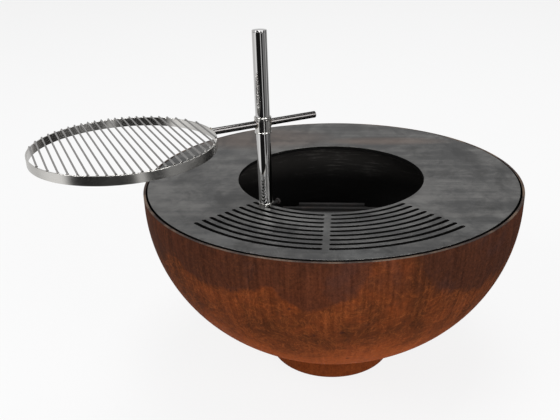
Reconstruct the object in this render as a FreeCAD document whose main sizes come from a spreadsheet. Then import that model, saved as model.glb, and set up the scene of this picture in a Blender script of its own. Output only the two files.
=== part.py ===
import FreeCAD, Part

import math
import os

import Sketcher

# Fire bowl with a flat cooking ring, a fire grate inside it, and a round grill that hangs
# beside the bowl on a post.
# The frame: +Z up, the floor at zero, the axis of the bowl on Z, and the slotted side of the
# cooking plate towards -Y. Lengths are millimetres and angles are degrees.

DIMENSIONS = [
    # bowl: a dished end with a short straight flange, and the ring it stands on
    ("plate_top", 536.0),
    ("rim_drop", 1.5),
    ("bowl_radius", 500.0),
    ("bowl_wall", 6.0),
    ("flange_height", 31.0),
    ("dish_depth", 460.0),
    ("crown_radius", 530.0),
    ("base_radius", 175.0),
    ("base_wall", 6.0),
    # drain in the bottom of the bowl
    ("drain_radius", 26.0),
    ("drain_play", 0.4),
    ("collar_radius", 36.0),
    ("collar_height", 16.0),
    ("plug_height", 18.0),
    ("plug_flange_radius", 34.0),
    ("plug_flange_height", 4.0),
    ("plug_tab_length", 30.0),
    ("plug_tab_width", 6.0),
    ("plug_tab_height", 12.0),
    # brackets and levelling screws that carry the cooking plate
    ("support_count", 4.0),
    ("support_azimuth", 45.0),
    ("bracket_length", 42.0),
    ("bracket_width", 50.0),
    ("bracket_thick", 5.0),
    ("bracket_drop", 14.0),
    ("bracket_root", 3.0),
    ("gusset_depth", 36.0),
    ("gusset_thick", 5.0),
    ("screw_radius", 5.0),
    ("screw_play", 0.4),
    ("screw_inset", 22.0),
    ("screw_side", 14.0),
    ("screw_length", 34.0),
    ("screw_head", 5.0),
    ("nut_across", 17.0),
    ("nut_height", 8.0),
    # cooking plate, its slots and the lugs that centre it
    ("plate_radius", 489.0),
    ("plate_thick", 10.0),
    ("hole_radius", 249.0),
    ("slot_rows", 9.0),
    ("slot_first", 264.2),
    ("slot_pitch", 21.9),
    ("slot_width", 10.0),
    ("slot_half_angle", 44.5),
    ("rib_width", 14.0),
    ("front_azimuth", -90.0),
    ("lug_radius", 6.0),
    ("lug_height", 12.0),
    ("lug_circle", 482.0),
    # fire grate on its stand
    ("grate_radius", 224.0),
    ("grate_depth", 165.0),
    ("grate_band_height", 25.0),
    ("grate_band_thick", 5.0),
    ("bar_width", 12.0),
    ("bar_count", 13.0),
    ("bar_pitch", 32.0),
    ("bar_inset", 2.0),
    ("leg_radius", 6.0),
    ("leg_count", 4.0),
    ("leg_overlap", 20.0),
    ("foot_ring_radius", 7.0),
    ("foot_ring_play", 0.4),
    # post and its forked foot
    ("post_circle", 254.0),
    ("post_azimuth", -126.9),
    ("post_radius", 16.85),
    ("post_wall", 2.0),
    ("post_height", 420.0),
    ("cap_height", 4.0),
    ("cap_plug", 14.0),
    ("cap_edge", 1.5),
    ("foot_radius", 18.0),
    ("foot_height", 8.0),
    ("foot_plug", 24.0),
    ("foot_depth", 30.0),
    ("foot_edge", 2.0),
    ("foot_play", 0.7),
    ("foot_gap", 0.1),
    ("clamp_radius", 4.0),
    ("clamp_length", 34.0),
    ("clamp_across", 13.0),
    ("clamp_head", 6.0),
    ("clamp_gap", 0.4),
    # sleeve that slides and turns on the post
    ("sleeve_bottom", 184.0),
    ("sleeve_height", 33.9),
    ("sleeve_radius", 19.0),
    ("sleeve_bore", 16.95),
    ("ring_bottom", 218.0),
    ("ring_height", 5.0),
    ("ring_radius", 20.3),
    ("ring_bore", 16.9),
    # arm, handle and round grill
    ("arm_azimuth", 212.1),
    ("arm_level", 206.7),
    ("arm_radius", 8.0),
    ("arm_wall", 1.5),
    ("handle_reach", 139.0),
    ("grill_reach", 330.0),
    ("grill_radius", 200.0),
    ("grill_band_thick", 3.0),
    ("grill_band_height", 20.0),
    ("grill_top", 215.0),
    ("wire_radius", 2.0),
    ("wire_count", 24.0),
    ("wire_pitch", 16.1),
    ("wire_inset", 0.5),
    ("wire_skew", -2.3),
]

doc = FreeCAD.newDocument("fire_bowl")
sheet = doc.addObject("Spreadsheet::Sheet", "Sizes")
for row, (alias, value) in enumerate(DIMENSIONS, start=1):
    sheet.set("A%d" % row, alias)
    sheet.set("B%d" % row, str(value))
    sheet.setAlias("B%d" % row, alias)
doc.recompute()

probe = doc.addObject("App::FeaturePython", "Probe")
probe.addProperty("App::PropertyFloat", "Value")
ALIASES = {alias for alias, _ in DIMENSIONS}
PARTS = []


def bound(text):
    """A formula in the sheet's aliases, written so that a document object can read it."""
    out = []
    word = ""
    for letter in text + " ":
        if letter.isalnum() or letter == "_":
            word += letter
            continue
        out.append("Sizes." + word if word in ALIASES else word)
        out.append(letter)
        word = ""
    return "".join(out).strip()


def value_of(text):
    """The number that a formula in the sheet's aliases has now."""
    probe.setExpression("Value", bound(text))
    probe.recompute()
    return probe.Value


def bind(item, **formulas):
    for name, text in formulas.items():
        item.setExpression(name, bound(text))
    return item


def place(item, x="0", y="0", z="0", turn=None):
    """Places a document object, with an optional turn about +Z."""
    if turn is not None:
        up = FreeCAD.Vector(0, 0, 1)
        item.Placement = FreeCAD.Placement(FreeCAD.Vector(), FreeCAD.Rotation(up, 1))
        item.setExpression("Placement.Rotation.Angle", bound(turn))
    for axis, text in (("x", x), ("y", y), ("z", z)):
        item.setExpression("Placement.Base." + axis, bound(text))
    return item


def cylinder(name, radius, height, **where):
    item = doc.addObject("Part::Cylinder", name)
    return place(bind(item, Radius=radius, Height=height), **where)


def box(name, length, width, height, **where):
    item = doc.addObject("Part::Box", name)
    return place(bind(item, Length=length, Width=width, Height=height), **where)


def rod_along_x(name, radius, length, **where):
    item = doc.addObject("Part::Cylinder", name)
    lying = FreeCAD.Rotation(FreeCAD.Vector(0, 1, 0), 90)
    item.Placement = FreeCAD.Placement(FreeCAD.Vector(), lying)
    return place(bind(item, Radius=radius, Height=length), **where)


def rod_along_y(name, radius, length, **where):
    item = doc.addObject("Part::Cylinder", name)
    lying = FreeCAD.Rotation(FreeCAD.Vector(1, 0, 0), -90)
    item.Placement = FreeCAD.Placement(FreeCAD.Vector(), lying)
    return place(bind(item, Radius=radius, Height=length), **where)


def hexagon(name, across, height, **where):
    """A hexagonal prism, given by the distance across its flats."""
    item = doc.addObject("Part::Prism", name)
    item.Polygon = 6
    return place(bind(item, Circumradius="%s / sqrt(3)" % across, Height=height), **where)


def cut(name, base, tool):
    item = doc.addObject("Part::Cut", name)
    item.Base = base
    item.Tool = tool
    return item


def joined(kind, name, pieces):
    """A fusion, an intersection or a loose group of pieces."""
    item = doc.addObject("Part::" + kind, name)
    setattr(item, "Links" if kind == "Compound" else "Shapes", list(pieces))
    return item


def fuse(name, *pieces):
    return joined("MultiFuse", name, pieces)


def tube(name, outer, inner, height, **where):
    """A round tube that stands on its lower end."""
    wall = cylinder(name + "_outer", outer, height, **where)
    bore = cylinder(name + "_bore", inner, height, **where)
    return cut(name, wall, bore)


def around(name, make_one, count, first):
    """Copies of one shape, evenly spaced about Z, as separate solids in one group."""
    pieces = []
    for index in range(int(value_of(count))):
        step = "%s + %d * 360 / %s" % (first, index, count)
        pieces.append(place(make_one("%s_%d" % (name, index + 1)), turn=step))
    return joined("Compound", name, pieces)


def finished(item, label, **where):
    """Registers a document object as one finished piece."""
    if where:
        place(item, **where)
    item.Label = label
    PARTS.append(item)
    return item


# ---------------------------------------------------------------- turned bodies


def arc_between(start, end, radius):
    """The arc from start to end whose centre lies nearer the axis than its chord."""
    half = (end - start) * 0.5
    across = FreeCAD.Vector(-half.y, half.x, 0).normalize()
    if across.x > 0:
        across = across * -1
    centre = (start + end) * 0.5 + across * math.sqrt(radius ** 2 - half.Length ** 2)
    first = math.atan2(start.y - centre.y, start.x - centre.x)
    last = math.atan2(end.y - centre.y, end.x - centre.x)
    circle = Part.Circle(centre, FreeCAD.Vector(0, 0, 1), radius)
    if (last - first) % (2 * math.pi) <= math.pi:
        return Part.ArcOfCircle(circle, first, last), True
    return Part.ArcOfCircle(circle, last, first), False


def pin_corner(sketch, edge, end, corner):
    """Ties one end of an edge to formulas for its radius and height."""
    for kind, text in (("DistanceX", corner[0]), ("DistanceY", corner[1])):
        index = sketch.addConstraint(Sketcher.Constraint(kind, -1, 1, edge, end, value_of(text)))
        sketch.setExpression("Constraints[%d]" % index, bound(text))


def turned(name, corners):
    """A body turned about Z from corners (radius, height) or (radius, height, arc radius).

    An arc radius belongs to the edge that leaves its corner.
    """
    body = doc.addObject("PartDesign::Body", name)
    sketch = body.newObject("Sketcher::SketchObject", name + "_profile")
    plane = [item for item in body.Origin.OriginFeatures if item.Role == "XZ_Plane"][0]
    sketch.AttachmentSupport = [(plane, "")]
    sketch.MapMode = "FlatFace"
    points = [FreeCAD.Vector(value_of(c[0]), value_of(c[1]), 0) for c in corners]
    ends = []
    for index, corner in enumerate(corners):
        start = points[index]
        end = points[(index + 1) % len(points)]
        if len(corner) == 2:
            edge = sketch.addGeometry(Part.LineSegment(start, end))
            ends.append((edge, 1, 2))
        else:
            arc, forward = arc_between(start, end, value_of(corner[2]))
            edge = sketch.addGeometry(arc)
            ends.append((edge, 1, 2) if forward else (edge, 2, 1))
    for index, corner in enumerate(corners):
        edge, start, _ = ends[index]
        before, _, finish = ends[index - 1]
        sketch.addConstraint(Sketcher.Constraint("Coincident", before, finish, edge, start))
        pin_corner(sketch, edge, start, corner)
        if len(corner) == 3:
            radius = sketch.addConstraint(Sketcher.Constraint("Radius", edge, value_of(corner[2])))
            sketch.setExpression("Constraints[%d]" % radius, bound(corner[2]))
    spin = body.newObject("PartDesign::Revolution", name + "_turned")
    spin.Profile = sketch
    spin.ReferenceAxis = (sketch, ["V_Axis"])
    spin.Angle = 360.0
    body.Tip = spin
    return body


# ---------------------------------------------------------------- bowl and base

RIM = "plate_top - rim_drop"
DISH_TOP = "(plate_top - rim_drop - flange_height)"
KNUCKLE = ("((crown_radius^2 - (crown_radius - dish_depth)^2 - bowl_radius^2)"
           " / (2 * (crown_radius - bowl_radius)))")
CROWN_LEVEL = "(%s - dish_depth + crown_radius)" % DISH_TOP
MEETING = "((bowl_radius - %s) / (crown_radius - %s))" % (KNUCKLE, KNUCKLE)
MEETING_DROP = "((crown_radius - dish_depth) / (crown_radius - %s))" % KNUCKLE


def dish_point(offset):
    """Where the knuckle arc meets the crown arc, on a surface inside the outer one."""
    reach = "(crown_radius - %s)" % offset
    return ("%s * %s" % (reach, MEETING), "%s - %s * %s" % (CROWN_LEVEL, reach, MEETING_DROP))


def dish_level(radius, offset):
    """Height of the dish at a radius inside the crown, on a surface inside the outer one."""
    return "(%s - sqrt((crown_radius - %s)^2 - (%s)^2))" % (CROWN_LEVEL, offset, radius)


def make_bowl():
    outer = dish_point("0")
    inner = dish_point("bowl_wall")
    return turned("bowl", [
        ("drain_radius", dish_level("drain_radius", "0"), "crown_radius"),
        (outer[0], outer[1], KNUCKLE),
        ("bowl_radius", DISH_TOP),
        ("bowl_radius", RIM),
        ("bowl_radius - bowl_wall", RIM),
        ("bowl_radius - bowl_wall", DISH_TOP, "%s - bowl_wall" % KNUCKLE),
        (inner[0], inner[1], "crown_radius - bowl_wall"),
        ("drain_radius", dish_level("drain_radius", "bowl_wall")),
    ])


def make_base_ring():
    return turned("base_ring", [
        ("base_radius - base_wall", "0"),
        ("base_radius", "0"),
        ("base_radius", dish_level("base_radius", "0"), "crown_radius"),
        ("base_radius - base_wall", dish_level("base_radius - base_wall", "0")),
    ])


def make_drain_collar():
    """A welded collar that stands out below the hole in the bottom of the bowl."""
    top = dish_level("collar_radius", "0")
    return turned("drain_collar", [
        ("drain_radius", "%s - collar_height" % top),
        ("collar_radius", "%s - collar_height" % top),
        ("collar_radius", top),
        ("drain_radius", "%s - 1" % dish_level("drain_radius", "0")),
    ])


def make_drain_plug():
    """A plug with a flange below the collar and a tab to turn it by."""
    seat = "%s - collar_height" % dish_level("collar_radius", "0")
    stem = cylinder("plug_stem", "drain_radius - drain_play", "plug_height", z=seat)
    flange = cylinder("plug_flange", "plug_flange_radius", "plug_flange_height",
                      z="%s - plug_flange_height" % seat)
    tab = box("plug_tab", "plug_tab_length", "plug_tab_width", "plug_tab_height",
              x="-plug_tab_length / 2", y="-plug_tab_width / 2",
              z="%s - plug_flange_height - plug_tab_height" % seat)
    return fuse("drain_plug", stem, flange, tab)


# ---------------------------------------------------------------- plate supports

WALL_INSIDE = "(bowl_radius - bowl_wall)"
BRACKET_TOP = "(plate_top - plate_thick - bracket_drop)"
SCREW_PLACE = {"x": WALL_INSIDE + " - screw_inset", "y": "screw_side"}


def make_bracket(name, bowl):
    """A level tab with a gusset below it, both shaped to the wall of the bowl."""
    tab = box(name + "_tab", "bracket_length + bracket_root", "bracket_width", "bracket_thick",
              x="%s - bracket_length" % WALL_INSIDE, y="-bracket_width / 2",
              z="%s - bracket_thick" % BRACKET_TOP)
    gusset = box(name + "_gusset", "gusset_depth + bracket_root", "gusset_thick", "gusset_depth",
                 x="%s - gusset_depth" % WALL_INSIDE, y="-gusset_thick / 2",
                 z="%s - bracket_thick - gusset_depth" % BRACKET_TOP)
    fitted = cut(name + "_fitted", fuse(name + "_whole", tab, gusset), bowl)
    hole = cylinder(name + "_hole", "screw_radius + screw_play", "bracket_thick",
                    z="%s - bracket_thick" % BRACKET_TOP, **SCREW_PLACE)
    return cut(name, fitted, hole)


def make_screw(name):
    """A hexagon screw, head up, whose head carries the plate."""
    head = hexagon(name + "_head", "nut_across", "screw_head",
                   z="plate_top - plate_thick - screw_head", **SCREW_PLACE)
    shank = cylinder(name + "_shank", "screw_radius", "screw_length",
                     z="plate_top - plate_thick - screw_head - screw_length", **SCREW_PLACE)
    return fuse(name, head, shank)


def make_nut_pair(name):
    """The nut on top of the bracket and the one below it."""
    nuts = []
    for side, level in (("upper", BRACKET_TOP), ("lower", BRACKET_TOP + " - bracket_thick - nut_height")):
        body = hexagon("%s_%s_body" % (name, side), "nut_across", "nut_height", z=level, **SCREW_PLACE)
        bore = cylinder("%s_%s_bore" % (name, side), "screw_radius", "nut_height", z=level, **SCREW_PLACE)
        nuts.append(cut("%s_%s" % (name, side), body, bore))
    return joined("Compound", name, nuts)


# ---------------------------------------------------------------- cooking plate

SLOT_HALF = "(slot_width / 2)"


def make_slot(name, row, side):
    """One curved slot with round ends, on one side of the rib."""
    circle = "(slot_first + %d * slot_pitch)" % row
    near = "asin((rib_width / 2 + %s) / %s) / 1deg" % (SLOT_HALF, circle)
    far = "(slot_half_angle - asin(%s / %s) / 1deg)" % (SLOT_HALF, circle)
    start = "front_azimuth + %s" % near if side > 0 else "front_azimuth - %s" % far
    pieces = []
    for label, radius in (("outer", circle + " + " + SLOT_HALF), ("inner", circle + " - " + SLOT_HALF)):
        wedge = cylinder("%s_%s" % (name, label), radius, "plate_thick", turn=start,
                         z="plate_top - plate_thick")
        pieces.append(bind(wedge, Angle="%s - %s" % (far, near)))
    shapes = [cut(name + "_arc", pieces[0], pieces[1])]
    for label, angle in (("near", near), ("far", far)):
        turn = "(front_azimuth + %d * %s)" % (side, angle)
        shapes.append(cylinder("%s_%s_end" % (name, label), SLOT_HALF, "plate_thick",
                               x="%s * cos(%s)" % (circle, turn), y="%s * sin(%s)" % (circle, turn),
                               z="plate_top - plate_thick"))
    return fuse(name, *shapes)


def make_cooking_plate():
    """A flat ring with two fans of curved slots and a straight rib between them."""
    ring = tube("plate_ring", "plate_radius", "hole_radius", "plate_thick", z="plate_top - plate_thick")
    slots = []
    for row in range(int(value_of("slot_rows"))):
        for side, label in ((1, "right"), (-1, "left")):
            slots.append(make_slot("slot_%s_%d" % (label, row + 1), row, side))
    return cut("cooking_plate", ring, joined("Compound", "slots", slots))


def make_lug(name):
    lug = cylinder(name + "_pin", "lug_radius", "lug_height", x="lug_circle",
                   z="plate_top - plate_thick - lug_height")
    return joined("Compound", name, [lug])


# ---------------------------------------------------------------- fire grate

GRATE_TOP = "(plate_top - grate_depth)"
BAND_TOP = "(plate_top - grate_depth - bar_width)"
LEG_CIRCLE = "(grate_radius - grate_band_thick - leg_radius)"
FOOT_LEVEL = dish_level(LEG_CIRCLE, "bowl_wall - foot_ring_radius - foot_ring_play")


def make_grate_ring():
    return tube("grate_ring", "grate_radius", "grate_radius - grate_band_thick", "grate_band_height",
                z="%s - grate_band_height" % BAND_TOP)


def make_grate_bars():
    """Square bars laid across the ring, each as long as its chord."""
    count = int(value_of("bar_count"))
    bars = []
    for index in range(count):
        step = index - (count - 1) / 2
        half = "sqrt((grate_radius - bar_inset)^2 - (%s * bar_pitch + bar_width / 2)^2)" % abs(step)
        bars.append(box("grate_bar_%d" % (index + 1), "2 * " + half, "bar_width", "bar_width",
                        x="-" + half, y="%s * bar_pitch - bar_width / 2" % step, z=BAND_TOP))
    return joined("Compound", "grate_bars", bars)


def make_grate_stand():
    """Round legs welded to a ring of round bar that rests on the wall of the bowl."""
    ring = doc.addObject("Part::Torus", "foot_ring")
    bind(ring, Radius1=LEG_CIRCLE, Radius2="foot_ring_radius")
    place(ring, z=FOOT_LEVEL)
    height = "%s - grate_band_height + leg_overlap - %s" % (BAND_TOP, FOOT_LEVEL)
    pieces = [ring]
    for index in range(int(value_of("leg_count"))):
        angle = "(support_azimuth + %d * 360 / leg_count)" % index
        pieces.append(cylinder("grate_leg_%d" % (index + 1), "leg_radius", height, z=FOOT_LEVEL,
                               x="%s * cos(%s)" % (LEG_CIRCLE, angle),
                               y="%s * sin(%s)" % (LEG_CIRCLE, angle)))
    return fuse("grate_stand", *pieces)


# ---------------------------------------------------------------- post

POST_TURN = {"turn": "post_azimuth"}
POST_CENTRE = {"x": "post_circle * cos(post_azimuth)", "y": "post_circle * sin(post_azimuth)"}
FOOT_TOP = "(plate_top + foot_height)"
CAP_BOTTOM = "(plate_top + post_height - cap_height)"
POST_BORE = "(post_radius - post_wall)"
SLOT_INNER = "(slot_first - slot_width / 2)"


def make_post_tube():
    return tube("post_tube", "post_radius", POST_BORE, "%s - %s" % (CAP_BOTTOM, FOOT_TOP), z=FOOT_TOP)


def make_post_cap():
    """A turned cap with a chamfered edge and a plug that fits the tube."""
    return turned("post_cap", [
        ("0", "%s - cap_plug" % CAP_BOTTOM),
        (POST_BORE, "%s - cap_plug" % CAP_BOTTOM),
        (POST_BORE, CAP_BOTTOM),
        ("post_radius", CAP_BOTTOM),
        ("post_radius", "%s + cap_height - cap_edge" % CAP_BOTTOM),
        ("post_radius - cap_edge", "%s + cap_height" % CAP_BOTTOM),
        ("0", "%s + cap_height" % CAP_BOTTOM),
    ])


def make_foot_round():
    """The turned blank of the foot: a chamfered round with a plug for the tube."""
    bottom = "plate_top - foot_depth"
    return turned("foot_round", [
        ("0", bottom),
        ("foot_radius - foot_edge", bottom),
        ("foot_radius", bottom + " + foot_edge"),
        ("foot_radius", "%s - foot_edge" % FOOT_TOP),
        ("foot_radius - foot_edge / 2", FOOT_TOP),
        (POST_BORE, FOOT_TOP),
        (POST_BORE, "%s + foot_plug" % FOOT_TOP),
        ("0", "%s + foot_plug" % FOOT_TOP),
    ])


def make_post_foot():
    """A fork that straddles the bar of plate between the fire hole and the first slot.

    The axis of the post is the origin here, and +X points away from the axis of the bowl.
    """
    low = "plate_top - foot_depth"
    height = "foot_depth + foot_gap"
    saddle = box("saddle", "%s - hole_radius + 2 * foot_play" % SLOT_INNER, "2 * foot_radius", height,
                 x="hole_radius - foot_play - post_circle", y="-foot_radius", z=low)
    shoulder = box("shoulder", "foot_radius", "2 * foot_radius", height,
                   x="%s + slot_width - foot_play - post_circle" % SLOT_INNER, y="-foot_radius", z=low)
    thread = rod_along_x("clamp_thread", "clamp_radius", "clamp_length", z="plate_top - plate_thick / 2",
                         x="hole_radius - clamp_gap - clamp_length - post_circle")
    return cut("post_foot", make_foot_round(), fuse("foot_cuts", saddle, shoulder, thread))


def make_clamp_screw():
    """A hexagon screw through the inner jaw of the fork, pointing at the edge of the plate."""
    tip = "hole_radius - clamp_gap - post_circle"
    middle = "plate_top - plate_thick / 2"
    shank = rod_along_x("clamp_shank", "clamp_radius", "clamp_length", x=tip + " - clamp_length", z=middle)
    head = doc.addObject("Part::Prism", "clamp_screw_head")
    head.Polygon = 6
    head.Placement = FreeCAD.Placement(FreeCAD.Vector(), FreeCAD.Rotation(FreeCAD.Vector(0, 1, 0), 90))
    bind(head, Circumradius="clamp_across / sqrt(3)", Height="clamp_head")
    place(head, x=tip + " - clamp_length - clamp_head", z=middle)
    return fuse("clamp_screw", shank, head)


# ---------------------------------------------------------------- sleeve, arm and grill


def hollow_rod(name, start, length, tools):
    """A tube along +X at the level of the arm, trimmed by other shapes."""
    rod = rod_along_x(name + "_rod", "arm_radius", length, x=start, z="arm_level")
    bore = rod_along_x(name + "_bore", "arm_radius - arm_wall", length, x=start, z="arm_level")
    return cut(name, rod, fuse(name + "_trim", bore, *tools))


def sleeve_blank(name):
    return cylinder(name, "sleeve_radius", "4 * arm_radius", z="arm_level - 2 * arm_radius")


def make_arm_tube():
    """The arm, from the outside of the sleeve to the outside of the grill's band."""
    grill_blank = cylinder("grill_blank", "grill_radius", "4 * arm_radius", x="grill_reach",
                           z="arm_level - 2 * arm_radius")
    return hollow_rod("arm_tube", "arm_radius", "grill_reach - grill_radius",
                      [sleeve_blank("sleeve_blank_arm"), grill_blank])


def make_handle_tube():
    """The short tube on the far side of the sleeve, open at its end."""
    return hollow_rod("handle_tube", "-handle_reach", "handle_reach - arm_radius",
                      [sleeve_blank("sleeve_blank_handle")])


def make_grill_band():
    return tube("grill_band", "grill_radius", "grill_radius - grill_band_thick", "grill_band_height",
                x="grill_reach", z="grill_top - grill_band_height")


def make_grill_wires():
    """Straight wires on top of the band, each as long as its chord. The centre is the origin."""
    count = int(value_of("wire_count"))
    wires = []
    for index in range(count):
        step = index - (count - 1) / 2
        half = "sqrt((grill_radius - wire_inset)^2 - (%s * wire_pitch + wire_radius)^2)" % abs(step)
        wires.append(rod_along_y("grill_wire_%d" % (index + 1), "wire_radius", "2 * " + half,
                                 x="%s * wire_pitch" % step, y="-" + half))
    return joined("Compound", "grill_wires", wires)


# ---------------------------------------------------------------- assembly


def assemble():
    bowl = finished(make_bowl(), "bowl")
    finished(make_base_ring(), "base_ring")
    finished(make_drain_collar(), "drain_collar")
    finished(make_drain_plug(), "drain_plug")
    supports = ("support_count", "support_azimuth")
    finished(around("plate_brackets", lambda name: make_bracket(name, bowl), *supports), "plate_brackets")
    finished(around("levelling_screws", make_screw, *supports), "levelling_screws")
    finished(around("levelling_nuts", make_nut_pair, *supports), "levelling_nuts")
    finished(make_cooking_plate(), "cooking_plate")
    finished(around("locating_lugs", make_lug, "support_count", "0"), "locating_lugs")
    finished(make_grate_ring(), "grate_ring")
    finished(make_grate_bars(), "grate_bars")
    finished(make_grate_stand(), "grate_stand")
    on_post = dict(POST_CENTRE, **POST_TURN)
    finished(make_post_tube(), "post_tube", **on_post)
    finished(make_post_cap(), "post_cap", **on_post)
    finished(make_post_foot(), "post_foot", **on_post)
    finished(make_clamp_screw(), "clamp_screw", **on_post)
    on_arm = dict(POST_CENTRE, z="plate_top", turn="arm_azimuth")
    ring = tube("friction_ring", "ring_radius", "ring_bore", "ring_height", z="ring_bottom")
    finished(ring, "friction_ring", **on_arm)
    sleeve = tube("swivel_sleeve", "sleeve_radius", "sleeve_bore", "sleeve_height", z="sleeve_bottom")
    finished(sleeve, "swivel_sleeve", **on_arm)
    finished(make_arm_tube(), "arm_tube", **on_arm)
    finished(make_handle_tube(), "handle_tube", **on_arm)
    finished(make_grill_band(), "grill_band", **on_arm)
    finished(make_grill_wires(), "grill_wires",
             x="%s + grill_reach * cos(arm_azimuth)" % POST_CENTRE["x"],
             y="%s + grill_reach * sin(arm_azimuth)" % POST_CENTRE["y"],
             z="plate_top + grill_top + wire_radius", turn="arm_azimuth + wire_skew")


def check_document():
    """Stops on a failed object or on a piece whose shape is missing or unsound."""
    for item in doc.Objects:
        if "Invalid" in item.State or "Error" in item.State:
            raise RuntimeError("failed object: %s %s" % (item.Name, item.State))
    for item in PARTS:
        if item.Shape.isNull() or not item.Shape.isValid():
            raise RuntimeError("unsound shape: " + item.Label)


def write_parts():
    os.makedirs("parts", exist_ok=True)
    for item in PARTS:
        item.Shape.exportStep("parts/%s.step" % item.Label)
        print("%-18s %3d solids %12.0f mm3" % (item.Label, len(item.Shape.Solids), item.Shape.Volume))


assemble()
doc.removeObject(probe.Name)
doc.recompute()
check_document()
write_parts()
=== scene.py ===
import math
import random

import bmesh
import bpy
from mathutils import Matrix, Vector


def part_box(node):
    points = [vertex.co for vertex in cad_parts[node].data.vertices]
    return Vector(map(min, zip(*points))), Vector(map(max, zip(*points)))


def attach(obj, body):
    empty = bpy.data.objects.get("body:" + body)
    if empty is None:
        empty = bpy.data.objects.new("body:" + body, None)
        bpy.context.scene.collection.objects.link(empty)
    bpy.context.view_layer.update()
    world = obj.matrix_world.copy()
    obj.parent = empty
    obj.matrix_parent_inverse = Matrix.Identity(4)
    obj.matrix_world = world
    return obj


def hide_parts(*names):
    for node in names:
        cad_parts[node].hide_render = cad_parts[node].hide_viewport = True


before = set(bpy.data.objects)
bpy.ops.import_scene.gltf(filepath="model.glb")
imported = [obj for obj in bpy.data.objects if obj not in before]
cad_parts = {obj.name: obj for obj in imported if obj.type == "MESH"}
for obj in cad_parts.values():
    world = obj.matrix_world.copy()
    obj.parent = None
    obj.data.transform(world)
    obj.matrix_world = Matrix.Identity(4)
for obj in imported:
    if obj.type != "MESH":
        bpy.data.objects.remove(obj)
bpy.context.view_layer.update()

# Fire bowl with a slotted cooking ring, a fire grate inside it and a round grill on a post.
# Metres, with +Z up, the axis of the bowl on Z and the slotted side of the ring towards -Y.

MM = 0.001
chance = random.Random(7)


def middle(node):
    low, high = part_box(node)
    return (low + high) / 2


def top(node):
    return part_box(node)[1].z


def bottom(node):
    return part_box(node)[0].z


def height(node):
    return top(node) - bottom(node)


# Where the frame puts things
RIM = top("bowl")
BOWL_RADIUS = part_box("bowl")[1].x
PLATE_TOP = top("cooking_plate")
PLATE_BOTTOM = bottom("cooking_plate")
PLATE_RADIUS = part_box("cooking_plate")[1].x
POST = middle("post_tube")
RING = middle("grill_band")
REACH = Vector((RING.x - POST.x, RING.y - POST.y, 0))
ARM_TURN = math.atan2(REACH.y, REACH.x)
POST_TURN = math.atan2(POST.y, POST.x)
ARM_LEVEL = middle("handle_tube").z

# Sizes that the boxes of the nodes don't show
BOWL_WALL = 6 * MM
FLANGE = 31 * MM
DISH_DEPTH = 460 * MM
CROWN = 530 * MM
HOLE_RADIUS = 249 * MM
SLOT_ROWS = 9
SLOT_FIRST = 264.2 * MM
SLOT_PITCH = 21.9 * MM
SLOT_HALF = 5 * MM
SLOT_REACH = math.radians(44.5)
RIB_HALF = 7 * MM
SLEEVE_RADIUS = 19 * MM
ARM_RADIUS = 8 * MM
WIRE_RADIUS = 2.0 * MM
WIRE_COUNT = 24
WIRE_PITCH = 16.1 * MM
WIRE_SKEW = math.radians(-2.3)
FRONT = math.radians(-90)
QUARTER = math.radians(90)
FULL_TURN = math.radians(360)

# Merging distance, and the angle beyond which an edge is shaded sharp
DOUBLES = 1e-6
SHARP = math.radians(50)


# ------------------------------------------------------------------ shapes


class Outline:
    """A line drawn in the plane of X and Z, to be turned about Z."""

    def __init__(self, x, z):
        self.bm = bmesh.new()
        self.first = self.bm.verts.new((x, 0, z))
        self.tip = self.first

    def line(self, *points):
        for x, z in points:
            made = bmesh.ops.extrude_vert_indiv(self.bm, verts=[self.tip])
            self.tip = made["verts"][0]
            self.tip.co = (x, 0, z)
        return self

    def arc(self, x, z, angle, steps):
        """Carries the line round the point x, z, from X towards Z if the angle is positive."""
        made = bmesh.ops.spin(self.bm, geom=[self.tip], cent=(x, 0, z), axis=(0, -1, 0),
                              angle=angle, steps=steps, use_duplicate=False)
        self.tip = made["geom_last"][0]
        return self

    def turned(self, steps, closed=True):
        """The solid that the line sweeps round Z; an open line has to end on the axis."""
        if closed:
            self.bm.edges.new((self.tip, self.first))
        whole = self.bm.verts[:] + self.bm.edges[:]
        bmesh.ops.spin(self.bm, geom=whole, cent=(0, 0, 0), axis=(0, 0, 1), angle=FULL_TURN,
                       steps=steps, use_merge=True, use_duplicate=False)
        return tidy(self.bm)


def tidy(bm):
    """Merges doubles and turns every face outwards."""
    bmesh.ops.remove_doubles(bm, verts=bm.verts, dist=DOUBLES)
    bmesh.ops.recalc_face_normals(bm, faces=bm.faces)
    return bm


def round_edges(bm, width, segments=3, sharper_than=40):
    """Rounds every edge that is sharper than an angle in degrees."""
    limit = math.radians(sharper_than)
    sharp = [e for e in bm.edges if e.is_manifold and e.calc_face_angle() > limit]
    bmesh.ops.bevel(bm, geom=sharp, affect="EDGES", offset=width, offset_type="OFFSET",
                    segments=segments, profile=0.5, material=-1, clamp_overlap=True)
    return bm


def moved(bm, place=(0, 0, 0), turn=0.0, tilt=None):
    """Tilts a shape, turns it about Z and moves it to its place."""
    matrix = Matrix.Translation(place) @ Matrix.Rotation(turn, 4, "Z")
    if tilt is not None:
        matrix = matrix @ tilt
    bmesh.ops.transform(bm, matrix=matrix, verts=bm.verts)
    return bm


LYING = Matrix.Rotation(QUARTER, 4, "Y")


def joined(*shapes):
    """One mesh of several shapes."""
    whole = bmesh.new()
    for shape in shapes:
        mesh = bpy.data.meshes.new("shape")
        shape.to_mesh(mesh)
        shape.free()
        whole.from_mesh(mesh)
        bpy.data.meshes.remove(mesh)
    return whole


def tube(outer, inner, length, edge, steps=48):
    """A round tube that stands on its lower end, with rounded edges."""
    line = Outline(inner, 0).line((outer, 0), (outer, length), (inner, length))
    return round_edges(line.turned(steps), edge)


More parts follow.
